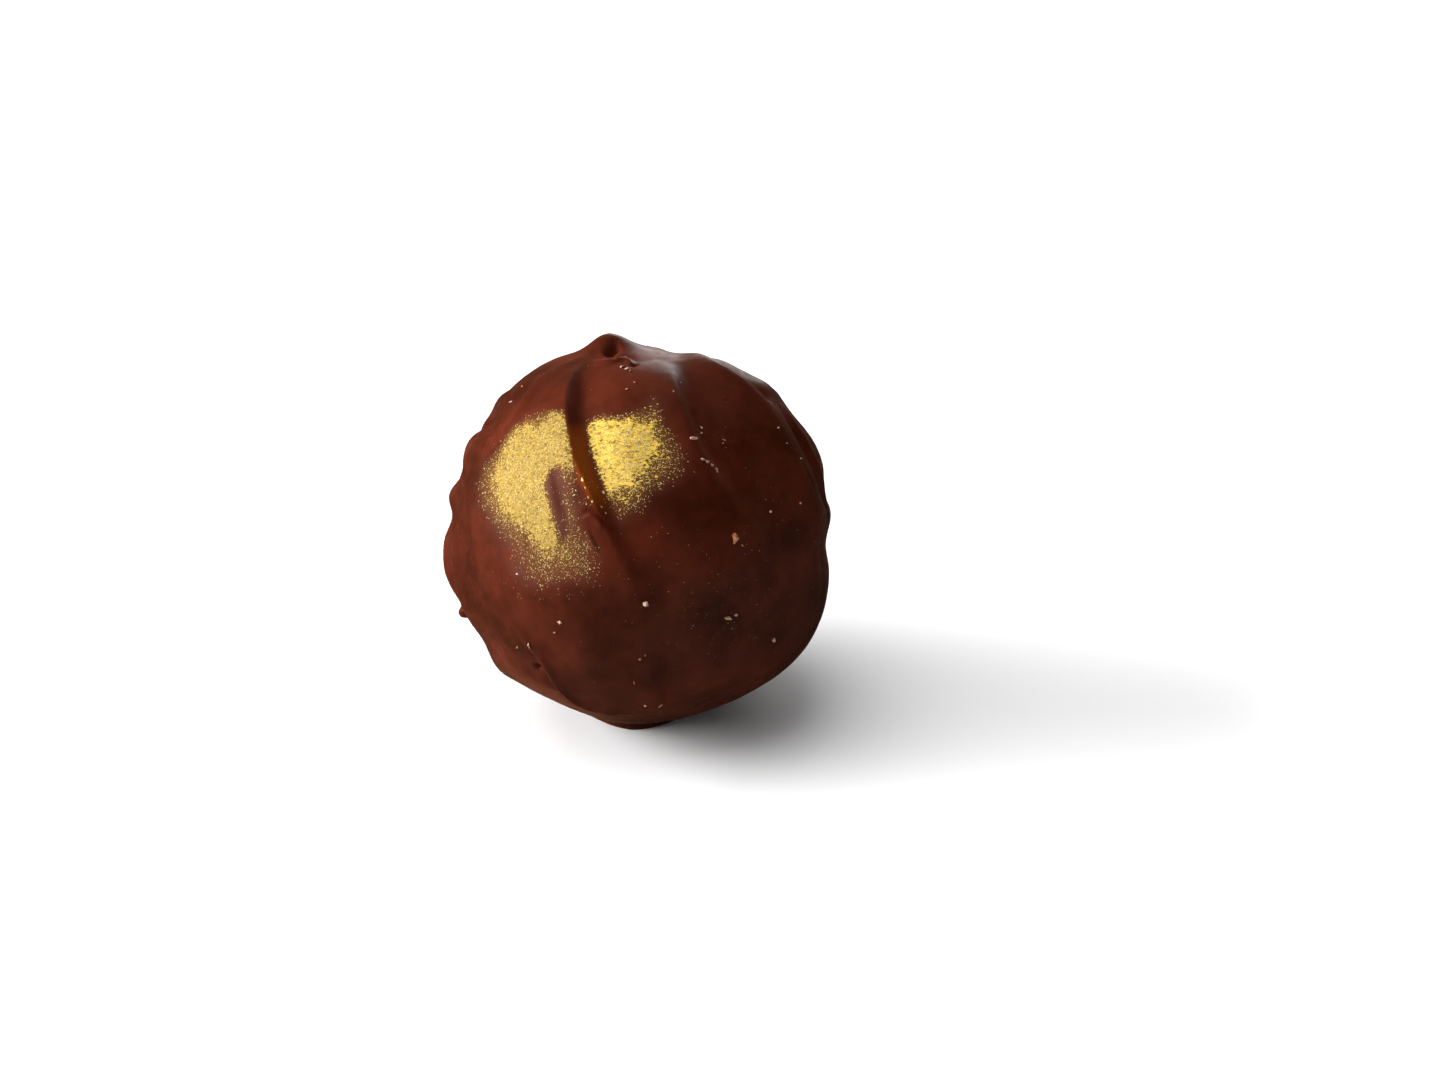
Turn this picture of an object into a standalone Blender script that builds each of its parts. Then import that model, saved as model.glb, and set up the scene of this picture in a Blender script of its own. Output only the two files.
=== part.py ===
"""A hazelnut truffle: one ball of filling, dipped and rolled by hand in dark milk chocolate.

The coating set in long folds that run down from a small curl on top to a foot, the round patch
of chocolate that spread under the ball and that it stands on. The uncut truffle is one solid.

Sizes are in millimetres until the mesh is made, in metres. The foot's middle is the origin, +Z is
up, and the front, which carries the main folds, faces -Y. A point on the front is given as an eye
there sees it, which looks down by FRONT_TILT: so many mm right of the ball's centre and so many up.
A point at the edge of what the eye sees is given by its angle round that outline, counted from the
right over the top, and by the degrees that it lies behind the outline.
"""

import math
import random
from typing import NamedTuple

import bmesh
import bpy
import numpy as np
from mathutils import Vector, noise

MM = 0.001

BALL_RADIUS = 14.75
CENTRE_HEIGHT = 14.5

# The eye in front: its place right of the ball's centre, above it and away from it.
FRONT_TILT = math.radians(30)
EYE = (6.1, -0.4, 310.0)
FRONT_DEPTH = 22.0
FRONT_STEPS = 281

# The foot's edge, as (degrees round from +X, mm from the middle).
FOOT_EDGE = (
    (0, 4.7), (45, 5.1), (90, 4.9), (135, 5.2), (180, 4.9), (205, 5.1), (229, 4.9), (262, 5.1),
    (287, 4.6), (316, 4.2), (340, 4.3),
)
FOOT_SPREAD = math.radians(3.2)
CUT_BELOW_FLOOR = 0.4

CURL_ANGLE = 99
CURL_BEHIND = -11

BEAD_ANGLE = 203.2
BEAD_BEHIND = 1
BEAD_RADIUS = 0.5
BEAD_STANDS_OUT = 0.3

# Unevenness of a ball rolled by hand, as (height in mm, waves along the ball's radius).
HAND_WAVES = ((0.16, 2.1), (0.05, 6.0))

BACK_FOLDS = 7
BACK_FIRST_BEARING = 96
BACK_BEARING_STEP = 27
BACK_TWIST = 16
BACK_ROUTE_POINTS = 8
BACK_SEED = 11

FINE_CUTS = 99
SOLID_TRIANGLES = 10800
ROUTE_STEPS = 40

COCOA_BROWN = (0.105, 0.030, 0.012, 1.0)
SATIN_ROUGHNESS = 0.42


class Fold(NamedTuple):
    """One fold. Its crest follows the route, whose points are (direction, strength, width).

    Its steep side, with a valley along it, lies to the right of a route that is drawn downwards, and
    to the left of one that is drawn upwards. Height and depth are those of crest and valley, and
    rise, drop and valley are how far the gentle side, the steep side and the valley reach.
    """

    route: list
    height: float
    rise: float
    drop: float
    depth: float
    valley: float


class Swelling(NamedTuple):
    """A swelling of the ball or, where its height is below zero, a hollow.

    It reaches as far as radius along the outline that the eye sees, and as far as reach from front
    to back.
    """

    centre: np.ndarray
    height: float
    radius: float
    reach: float


def turned_to_front(points):
    """Unit directions, in the model's axes, of points in the eye's axes (right, up, towards it)."""
    x, y, towards = np.moveaxis(np.asarray(points, float), -1, 0)
    tilt_sin, tilt_cos = math.sin(FRONT_TILT), math.cos(FRONT_TILT)
    turned = np.stack([x, y * tilt_sin - towards * tilt_cos, y * tilt_cos + towards * tilt_sin], axis=-1)
    return turned / np.linalg.norm(turned, axis=-1, keepdims=True)


def on_front(right, up):
    """Unit direction from the ball's centre to the point that the eye sees so many mm right and up."""
    eye = np.array(EYE)
    shares = np.linspace(1.0 - FRONT_DEPTH / EYE[2], 1.0, FRONT_STEPS)
    points = eye + shares[:, None] * (np.array([right, up, 0.0]) - eye)
    directions = turned_to_front(points)
    outside = np.linalg.norm(points, axis=1) - bare_radius(directions)
    return directions[np.argmax(outside <= 0) if outside.min() <= 0 else np.argmin(outside)]


def on_rim(angle, behind):
    """Unit direction of a point at this angle of the outline, so many degrees behind it."""
    around, back = math.radians(angle), math.radians(behind)
    return turned_to_front(
        (math.cos(around) * math.cos(back), math.sin(around) * math.cos(back), -math.sin(back))
    )


def from_curl(away, bearing):
    """Unit direction so many degrees away from the curl, on a bearing that is 0 towards the front."""
    pole = on_rim(CURL_ANGLE, CURL_BEHIND)
    towards = turned_to_front((0.0, 0.0, 1.0))
    front = towards - towards.dot(pole) * pole
    front /= np.linalg.norm(front)
    side = np.cross(pole, front)
    a, b = math.radians(away), math.radians(bearing)
    return math.cos(a) * pole + math.sin(a) * (math.cos(b) * front + math.sin(b) * side)


def front_route(*points):
    """A route over the front from points given as (mm right, mm up, strength) and, at will, width."""
    return [(on_front(right, up), strength, *(width or (1,))) for right, up, strength, *width in points]


def rim_route(*points):
    """A route along the outline from points given as (angle, degrees behind it, strength)."""
    return [(on_rim(angle, behind), strength, 1) for angle, behind, strength in points]


def left_folds():
    """The folds of the front's left third."""
    far_left = rim_route((170, 5, 0.2), (178, 6, 0.8), (186, 7, 1), (194, 8, 1), (203, 9, 0.3))
    left = front_route(
        (-11.9, -8.7, 0.3), (-13.8, -4.7, 1), (-14.5, -0.7, 1), (-14.1, 3.2, 1), (-12.9, 7.0, 1),
        (-11.3, 9.5, 1), (-8.6, 12.0, 0.5),
    )
    inner_left = front_route(
        (-10.9, 7.4, 0), (-8.9, 10.6, 0.8), (-7.0, 12.7, 1), (-5.8, 13.3, 0.9), (-4.4, 14.0, 0.4)
    )
    brushed = front_route((-7.4, 6.0, 0), (-7.1, 4.3, 1), (-6.7, 2.4, 1), (-6.0, -0.3, 0))
    return [
        Fold(far_left, height=0.55, rise=0.9, drop=0.9, depth=0.1, valley=1.5),
        Fold(left, height=0.35, rise=1.3, drop=0.5, depth=0.25, valley=1.2),
        Fold(inner_left, height=0.18, rise=0.9, drop=0.6, depth=0.08, valley=1.2),
        Fold(brushed, height=0.1, rise=1.2, drop=0.5, depth=0.14, valley=1.1),
    ]


def long_folds():
    """The long folds that run down the middle and the right of the front."""
    main = front_route(
        (-4.9, 13.3, 0), (-5.5, 12.2, 0.45, 1.3), (-5.8, 10.7, 0.9, 1.4), (-5.6, 8.2, 1, 1.5),
        (-5.0, 5.7, 1, 1.2), (-2.9, 0.8, 0.6, 1.3), (-0.6, -5.0, 0.3, 2.8), (0.7, -10.4, 0.55, 2.0),
        (1.2, -12.7, 0.2),
    )
    middle = front_route(
        (1.6, 13.6, 0), (2.2, 12.3, 0.5), (2.8, 10.4, 0.9), (3.4, 8.3, 1), (4.4, 6.0, 1, 1.1),
        (6.3, 2.6, 1, 1.6), (8.4, -0.6, 0.7, 2), (9.8, -3.4, 0.2, 2),
    )
    right = front_route(
        (3.8, 13.9, 0.5), (5.7, 12.9, 1), (9.0, 10.4, 1), (11.3, 6.7, 1), (13.3, 1.6, 0.9),
        (13.7, -2.6, 0.1),
    )
    far_right = rim_route(
        (68, 4, 0.3), (60, 4, 0.8), (51, 5, 1), (38, 4, 1), (22, 3, 0.8), (6, 2, 1), (-3, 3, 0)
    )
    return [
        Fold(main, height=0.42, rise=1.9, drop=0.48, depth=0.7, valley=2.2),
        Fold(middle, height=0.45, rise=2.4, drop=1.0, depth=0.8, valley=3.2),
        Fold(right, height=0.7, rise=1.7, drop=0.45, depth=0.7, valley=1.3),
        Fold(far_right, height=0.25, rise=1.0, drop=1.0, depth=0.1, valley=2.0),
    ]


def low_folds():
    """The flap low on the left, with a thin crest, and the ledge under it."""
    flap = front_route(
        (-1.3, -13.7, 0.4), (-2.45, -13.5, 0.8), (-4.3, -12.9, 1), (-6.0, -11.65, 1),
        (-6.9, -10.35, 1), (-8.05, -9.0, 0.8), (-9.0, -7.9, 0.2),
    )
    ledge = front_route((-5.7, -12.3, 0), (-7.5, -11.45, 1), (-9.1, -10.6, 1), (-11.0, -9.4, 0))
    return [
        Fold(flap, height=0.35, rise=1.1, drop=0.4, depth=0.2, valley=1.1),
        Fold(ledge, height=0.2, rise=1.0, drop=0.35, depth=0.2, valley=1.0),
    ]


def curl_folds():
    """The slot and the lip that the chocolate left where it was drawn up into the curl."""
    slot = front_route((-1.8, 15.0, 0), (-2.5, 14.7, 1), (-2.7, 14.4, 1), (-2.9, 13.8, 0))
    lip = front_route(
        (-3.4, 13.8, 0), (-2.85, 13.5, 0.8), (-1.6, 13.65, 1), (-1.0, 13.6, 0.8), (-0.6, 13.2, 0)
    )
    return [
        Fold(slot, height=0.0, rise=0.5, drop=0.16, depth=1.1, valley=0.5),
        Fold(lip, height=0.16, rise=0.4, drop=0.25, depth=0.15, valley=0.6),
    ]


def back_folds():
    """The folds of the back, which run down from the curl like the front's, by a seeded draw."""
    draw = random.Random(BACK_SEED)
    found = []
    for i in range(BACK_FOLDS):
        bearing = BACK_FIRST_BEARING + i * BACK_BEARING_STEP + draw.uniform(-5, 5)
        start, end = draw.uniform(16, 34), draw.uniform(92, 128)
        bend, phase = draw.uniform(4, 9), draw.uniform(0, math.tau)
        route = []
        for share in np.linspace(0.0, 1.0, BACK_ROUTE_POINTS):
            swing = BACK_TWIST * share + bend * math.sin(phase + 4.0 * share)
            strength = math.sin(math.pi * (0.12 + 0.88 * share)) ** 2
            route.append((from_curl(start + (end - start) * share, bearing + swing), strength**0.3, 1))
        size = draw.uniform(0.7, 1.15)
        found.append(
            Fold(route, height=0.34 * size, rise=2.0 * size, drop=0.55 * size, depth=0.34 * size, valley=1.8)
        )
    return found


def swellings():
    """The ball's unevenness that is larger than a fold: the curl first, then round the outline."""
    return [
        Swelling(on_rim(CURL_ANGLE, CURL_BEHIND), height=1.25, radius=1.8, reach=1.8),
        Swelling(on_rim(122, -4), height=0.68, radius=4.6, reach=4.6),
        Swelling(on_rim(142, -1), height=-0.6, radius=1.3, reach=3.5),
        Swelling(on_rim(151, 0), height=0.25, radius=1.2, reach=2.5),
        Swelling(on_rim(161, 0), height=-0.4, radius=1.0, reach=3.0),
        Swelling(on_rim(168, 1), height=0.2, radius=1.0, reach=2.0),
        Swelling(on_rim(175, 0), height=-0.5, radius=1.1, reach=3.5),
        Swelling(on_rim(189, 2), height=0.25, radius=1.6, reach=2.5),
        Swelling(on_rim(212, 0), height=-0.5, radius=1.5, reach=3.5),
        Swelling(on_rim(223, -3), height=0.35, radius=1.6, reach=3.0),
        Swelling(on_rim(248, -6), height=-0.45, radius=4.0, reach=4.0),
        Swelling(on_rim(285, -8), height=-0.45, radius=5.0, reach=5.0),
        Swelling(on_rim(327, -4), height=0.65, radius=5.0, reach=5.0),
        Swelling(on_rim(359, -1), height=-0.55, radius=2.0, reach=5.0),
        Swelling(on_rim(14, 0), height=-0.6, radius=1.4, reach=3.0),
        Swelling(on_rim(50, 2), height=0.5, radius=1.5, reach=2.5),
        Swelling(on_rim(77, 0), height=-0.7, radius=1.4, reach=4.0),
    ]


def smooth_step(low, high, values):
    """0 below low, 1 above high, and a smooth rise between."""
    t = np.clip((values - low) / (high - low), 0.0, 1.0)
    return t * t * (3.0 - 2.0 * t)


def smooth_route(route):
    """A Catmull-Rom curve through a route, as unit directions, ways along it, strengths and widths."""
    rows = np.array([[*direction, strength, width] for direction, strength, width in route])
    rows = np.vstack([2 * rows[0] - rows[1], rows, 2 * rows[-1] - rows[-2]])
    t = np.linspace(0.0, 1.0, ROUTE_STEPS, endpoint=False)[:, None]
    samples = []
    for a, b, c, d in zip(rows, rows[1:], rows[2:], rows[3:]):
        curve = 2 * b + (c - a) * t + (2 * a - 5 * b + 4 * c - d) * t**2 + (3 * b - a - 3 * c + d) * t**3
        samples.append(curve / 2)
    samples = np.vstack([*samples, rows[-2]])
    points = samples[:, :3] / np.linalg.norm(samples[:, :3], axis=1, keepdims=True)
    ways = np.gradient(points, axis=0)
    ways /= np.linalg.norm(ways, axis=1, keepdims=True)
    return points, ways, np.clip(samples[:, 3], 0.0, None), samples[:, 4]


def fold_relief(directions, fold):
    """Height that a fold adds along each direction, in mm."""
    points, ways, strengths, widths = smooth_route(fold.route)
    nearest = np.argmax(directions @ points.T, axis=1)
    off = BALL_RADIUS * (directions - points[nearest])
    across = np.cross(points, ways)
    side = np.einsum("ij,ij->i", off, across[nearest]) / widths[nearest]
    past_end = np.einsum("ij,ij->i", off, ways[nearest])
    gentle = fold.height * np.exp(-((side / fold.rise) ** 2))
    steep = (fold.height + fold.depth) * np.exp(-((side / fold.drop) ** 2))
    steep -= fold.depth * np.exp(-((side / fold.valley) ** 2))
    fade = np.exp(-((past_end / fold.rise) ** 2))
    return np.where(side < 0, gentle, steep) * strengths[nearest] * fade


def swelling_relief(directions, swelling):
    """Height that one swelling, or hollow, adds along each direction, in mm."""
    towards = turned_to_front((0.0, 0.0, 1.0))
    backwards = towards.dot(swelling.centre) * swelling.centre - towards
    backwards /= np.linalg.norm(backwards)
    off = BALL_RADIUS * (directions - swelling.centre)
    back = off @ backwards
    sideways_squared = np.einsum("ij,ij->i", off, off) - back**2
    return swelling.height * np.exp(-sideways_squared / swelling.radius**2 - (back / swelling.reach) ** 2)


def hand_made(directions):
    """The slight unevenness of a ball that was rolled by hand, in mm."""
    return np.array(
        [sum(height * noise.noise(Vector(d) * waves) for height, waves in HAND_WAVES) for d in directions]
    )


def bare_radius(directions):
    """Distance from the ball's centre along each direction, in mm, before folds and foot are added."""
    radius = BALL_RADIUS + hand_made(directions)
    for swelling in swellings():
        radius += swelling_relief(directions, swelling)
    return radius


def surface_radius(directions):
    """Distance from the ball's centre to the coating along each direction, in mm.

    Under the ball the coating turns down to the foot, and runs on to a flat just below the floor.
    """
    radius = bare_radius(directions)
    for fold in left_folds() + long_folds() + low_folds() + curl_folds() + back_folds():
        radius += fold_relief(directions, fold)
    down = np.clip(-directions[:, 2], 1e-6, 1.0)
    around = np.degrees(np.arctan2(directions[:, 1], directions[:, 0]))
    foot_edge = np.arctan(np.interp(around, *zip(*FOOT_EDGE), period=360) / CENTRE_HEIGHT)
    past_foot = smooth_step(-0.3 * FOOT_SPREAD, 0.7 * FOOT_SPREAD, np.arccos(down) - foot_edge)
    return np.where(past_foot < 1, radius * past_foot + foot_bottom(down) * (1 - past_foot), radius)


def foot_bottom(down):
    """Distance from the ball's centre to a flat just below the floor, in mm."""
    return (CENTRE_HEIGHT + CUT_BELOW_FLOOR) / down


def ball_mesh():
    """A fine ball whose points lie evenly, made from a cube, with the coating's relief."""
    bm = bmesh.new()
    bmesh.ops.create_cube(bm, size=2.0)
    bmesh.ops.subdivide_edges(bm, edges=bm.edges[:], cuts=FINE_CUTS, use_grid_fill=True)
    places = np.tan(np.array([v.co for v in bm.verts]) * (math.pi / 4))
    directions = places / np.linalg.norm(places, axis=1, keepdims=True)
    points = directions * surface_radius(directions)[:, None]
    points[:, 2] += CENTRE_HEIGHT
    for vert, point in zip(bm.verts, points * MM):
        vert.co = point
    mesh = bpy.data.meshes.new("truffle")
    bm.to_mesh(mesh)
    bm.free()
    return mesh


def apply_modifiers(obj):
    """Replaces the object's mesh with what its modifiers make of it."""
    bpy.context.view_layer.update()
    evaluated = obj.evaluated_get(bpy.context.evaluated_depsgraph_get())
    made = bpy.data.meshes.new_from_object(evaluated)
    obj.modifiers.clear()
    obj.data = made


def add_bead(truffle, cutters):
    """Fuses the small drop of chocolate low on the left edge to the ball."""
    towards = on_rim(BEAD_ANGLE, BEAD_BEHIND)
    reach = surface_radius(towards[None, :])[0] + BEAD_STANDS_OUT
    bm = bmesh.new()
    bmesh.ops.create_icosphere(bm, subdivisions=2, radius=BEAD_RADIUS * MM)
    mesh = bpy.data.meshes.new("bead")
    bm.to_mesh(mesh)
    bm.free()
    bead = bpy.data.objects.new("bead", mesh)
    bead.location = Vector(towards * reach + (0, 0, CENTRE_HEIGHT)) * MM
    bead.hide_render = True
    bead.display_type = "WIRE"
    cutters.objects.link(bead)
    union = truffle.modifiers.new("fuse_bead", "BOOLEAN")
    union.operation = "UNION"
    union.solver = "EXACT"
    union.object = bead
    apply_modifiers(truffle)
    bpy.data.objects.remove(bead)


def cut_flat(truffle):
    """Cuts the foot off at the surface it stands on, and closes the cut with one flat face."""
    bm = bmesh.new()
    bm.from_mesh(truffle.data)
    bmesh.ops.bisect_plane(
        bm,
        geom=bm.verts[:] + bm.edges[:] + bm.faces[:],
        dist=1e-7,
        plane_co=(0, 0, 0),
        plane_no=(0, 0, 1),
        clear_inner=True,
    )
    bmesh.ops.contextual_create(bm, geom=[e for e in bm.edges if e.is_boundary])
    bmesh.ops.recalc_face_normals(bm, faces=bm.faces[:])
    bm.to_mesh(truffle.data)
    bm.free()


def chocolate():
    """Dark milk chocolate: a satin, reddish brown."""
    material = bpy.data.materials.new("chocolate")
    material.use_nodes = True
    shader = material.node_tree.nodes["Principled BSDF"]
    shader.inputs["Base Color"].default_value = COCOA_BROWN
    shader.inputs["Roughness"].default_value = SATIN_ROUGHNESS
    shader.inputs["Metallic"].default_value = 0.0
    return material


def new_collection(name):
    made = bpy.data.collections.new(name)
    bpy.context.scene.collection.children.link(made)
    return made


def main():
    for obj in list(bpy.data.objects):
        bpy.data.objects.remove(obj)
    parts = new_collection("hazelnut_truffle")
    cutters = new_collection("cutters")
    truffle = bpy.data.objects.new("truffle", ball_mesh())
    parts.objects.link(truffle)
    fewer = truffle.modifiers.new("fewer_faces", "DECIMATE")
    fewer.ratio = SOLID_TRIANGLES / (2 * len(truffle.data.polygons))
    apply_modifiers(truffle)
    add_bead(truffle, cutters)
    cut_flat(truffle)
    truffle.data.materials.clear()
    truffle.data.materials.append(chocolate())
    truffle.data.shade_smooth()


main()
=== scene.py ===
"""The looks of a hazelnut truffle: hand-dipped coating, a brushed patch of gold dust, crumbs and a stage.

Lengths are in millimetres until a mesh is made, in metres. +Z is up and the front faces -Y. A point on
the front is given as an eye there sees it, which looks down by FRONT_TILT: so many mm right of the
ball's centre and so many up. A point at the edge of what the eye sees is given by its angle round that
outline, counted from the right over the top, and by the degrees that it lies behind the outline.
"""

import math
import random
from typing import NamedTuple

import bmesh
import bpy
import numpy as np
from bpy.props import FloatProperty, FloatVectorProperty, IntProperty, PointerProperty
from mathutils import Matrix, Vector, noise
from mathutils.bvhtree import BVHTree


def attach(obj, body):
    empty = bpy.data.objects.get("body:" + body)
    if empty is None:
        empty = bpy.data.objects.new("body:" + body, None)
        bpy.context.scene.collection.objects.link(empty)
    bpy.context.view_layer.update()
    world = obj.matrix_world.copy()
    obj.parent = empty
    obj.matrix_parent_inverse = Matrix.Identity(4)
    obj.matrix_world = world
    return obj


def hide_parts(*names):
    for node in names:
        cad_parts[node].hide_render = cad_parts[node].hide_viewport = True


bl_info = {
    "name": "Hazelnut Truffle",
    "version": (1, 0, 0),
    "blender": (4, 5, 0),
    "location": "View3D > Sidebar > Truffle",
    "description": "Makes a hand-dipped hazelnut truffle with gold dust, on a white board",
    "category": "Add Mesh",
}

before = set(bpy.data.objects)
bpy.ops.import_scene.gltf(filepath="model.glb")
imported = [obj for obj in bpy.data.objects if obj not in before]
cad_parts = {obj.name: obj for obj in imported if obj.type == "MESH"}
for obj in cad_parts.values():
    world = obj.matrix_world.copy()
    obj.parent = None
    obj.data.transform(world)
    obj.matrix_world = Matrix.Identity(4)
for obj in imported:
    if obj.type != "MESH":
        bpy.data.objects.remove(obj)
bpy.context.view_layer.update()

MM = 0.001

# The ball and the eye before it, as the solid has them. EYE is so many mm right of the ball's centre,
# above it and out from it. A point on the front is searched for over a depth in mm, at so many places.
BALL_RADIUS = 14.75
CENTRE_HEIGHT = 14.5
FRONT_TILT = math.radians(30)
TILT_SIN = math.sin(FRONT_TILT)
TILT_COS = math.cos(FRONT_TILT)
EYE = (6.1, -0.4, 310.0)
FRONT_DEPTH = 22.0
FRONT_STEPS = 281

FOOT_EDGE = (
    (0, 4.7), (45, 5.1), (90, 4.9), (135, 5.2), (180, 4.9), (205, 5.1), (229, 4.9), (262, 5.1),
    (287, 4.6), (316, 4.2), (340, 4.3),
)
FOOT_SPREAD = math.radians(3.2)
CUT_BELOW_FLOOR = 0.4

CURL_ANGLE = 99
CURL_BEHIND = -11

BEAD_ANGLE = 203.2
BEAD_BEHIND = 1
BEAD_RADIUS = 0.5
BEAD_STANDS_OUT = 0.3

HAND_WAVES = ((0.16, 2.1), (0.05, 6.0))
RIPPLE_WAVES = ((0.012, 18.0), (0.005, 43.0))

BACK_FOLDS = 7
BACK_FIRST_BEARING = 96
BACK_BEARING_STEP = 27
BACK_TWIST = 16
BACK_ROUTE_POINTS = 8
BACK_SEED = 11

ROUTE_STEPS = 40
BLOCK = 20000

# Where the coating has small features, as (mm right, mm up, radius) of patches with a finer mesh.
FINE_PATCHES = (
    (-3.6, 9.0, 7.4), (-7.0, -11.0, 3.4), (-3.9, 0.3, 2.0), (8.8, 9.4, 4.6), (12.2, 3.6, 3.0),
    (-13.8, -5.9, 1.2),
)

# Outlines on the front, in mm, of where gold was brushed on: solid gold and, round it, stray grains.
LEFT_GOLD = (
    (-6.0, 9.4), (-6.9, 9.6), (-7.4, 9.0), (-8.1, 8.5), (-9.0, 8.6), (-9.8, 8.1), (-10.7, 6.6), (-11.4, 4.7),
    (-11.2, 3.0), (-10.3, 1.5), (-9.2, 0.5), (-8.2, -0.7), (-7.4, -1.9), (-6.7, -1.6), (-6.5, -0.3),
    (-6.9, 1.9), (-7.4, 3.6), (-7.2, 4.9), (-6.3, 5.6), (-5.3, 5.3), (-5.6, 7.2), (-5.8, 8.3),
)
LEFT_GRAINS = (
    (-6.0, 9.9), (-7.2, 10.0), (-8.9, 9.5), (-10.3, 8.4), (-11.4, 6.7), (-12.4, 5.7), (-12.9, 3.7),
    (-12.7, 2.2), (-11.9, 0.9), (-10.9, -0.3), (-10.3, -1.4), (-10.5, -2.7), (-9.3, -4.1), (-7.8, -4.3),
    (-5.7, -3.9), (-3.5, -4.0), (-2.8, -2.0), (-3.3, -0.2), (-4.4, 0.8), (-4.8, 3.0), (-5.0, 5.3),
    (-5.5, 7.6),
)
RIGHT_GOLD = (
    (-4.4, 8.6), (-3.0, 9.0), (-0.6, 8.9), (0.8, 8.6), (1.2, 7.4), (1.0, 6.6), (0.0, 5.2), (-0.8, 4.1),
    (-2.4, 3.2), (-3.1, 4.6), (-3.8, 6.4), (-4.2, 7.6),
)
RIGHT_GRAINS = (
    (-4.3, 9.1), (-3.0, 9.6), (-1.1, 9.6), (0.0, 10.2), (0.9, 11.2), (1.7, 10.5), (2.0, 8.9), (2.8, 7.9),
    (3.7, 6.4), (3.8, 4.7), (2.3, 3.6), (1.0, 2.9), (0.3, 1.7), (-0.8, 1.2), (-1.6, 0.4), (-2.4, 1.5),
    (-3.1, 3.2), (-3.7, 5.3), (-4.4, 7.2),
)
# The wiped stroke inside the left patch that stayed bare, and the groove between the patches.
BARE_STROKE = (
    (-7.0, 5.1), (-6.4, 5.3), (-6.0, 4.4), (-5.9, 2.5), (-5.7, 0.3), (-6.0, -0.4), (-6.5, 0.3), (-6.9, 2.0),
    (-7.5, 4.0),
)
GROOVE = (
    (-5.8, 9.8), (-4.4, 9.4), (-4.3, 7.2), (-3.8, 5.4), (-3.1, 3.4), (-2.2, 1.6), (-2.6, 1.2), (-3.6, 2.2),
    (-4.9, 4.4), (-5.5, 7.4),
)
# Grains point away from the middle of their patch. Those left of PATCHES_PART_AT, in mm, go by the left one.
LEFT_GOLD_MIDDLE = (-8.4, 4.0)
RIGHT_GOLD_MIDDLE = (-0.9, 6.6)
PATCHES_PART_AT = -4.6

# The field that grains are tried in, as (left, right, low, high), and how fast they thin outwards from
# the solid gold: 1 is evenly, and more is faster.
GRAIN_FIELD = (-13.2, 4.2, -4.6, 11.5)
FRINGE_THINS = 1.1

# The shares of dust that the bare stroke and the groove have lost, and the share taken away low on the left.
STROKE_BARE = 0.95
GROOVE_BARE = 0.97
LOWER_LEFT_FADE = 0.45

# Grains vary between these shares of the typical length, and in width between these of their own.
GRAIN_LENGTHS = (0.6, 1.4)
STRAY_LENGTHS = (0.3, 0.7)
GRAIN_WIDTHS = (0.2, 0.42)

# Stray grains beyond the patches, as (mm right, mm up, radius, how many).
STRAY_GRAINS = (
    (-3.8, 3.9, 0.5, 16), (-4.2, 2.6, 0.45, 14), (-4.6, 4.6, 0.3, 10), (-8.5, -3.2, 2.2, 60),
    (-5.2, -2.6, 2.4, 70), (11.0, -1.0, 4.0, 60), (7.0, -6.0, 3.6, 70), (3.0, -3.0, 4.0, 40),
    (9.0, 6.5, 4.5, 26), (0.0, 0.0, 14.0, 90),
)

# Clots of dust that stuck in the groove, as (mm right, mm up, length, width).
GOLD_CLOTS = (
    (-4.55, 4.35, 0.55, 0.28), (-4.35, 3.8, 0.35, 0.22), (-4.1, 3.0, 0.4, 0.2), (-4.25, 2.5, 0.3, 0.2),
    (-3.8, 2.7, 0.3, 0.2), (-2.95, 3.4, 0.5, 0.28), (-3.1, 2.3, 0.3, 0.2), (-2.75, 1.8, 0.26, 0.18),
)
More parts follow.
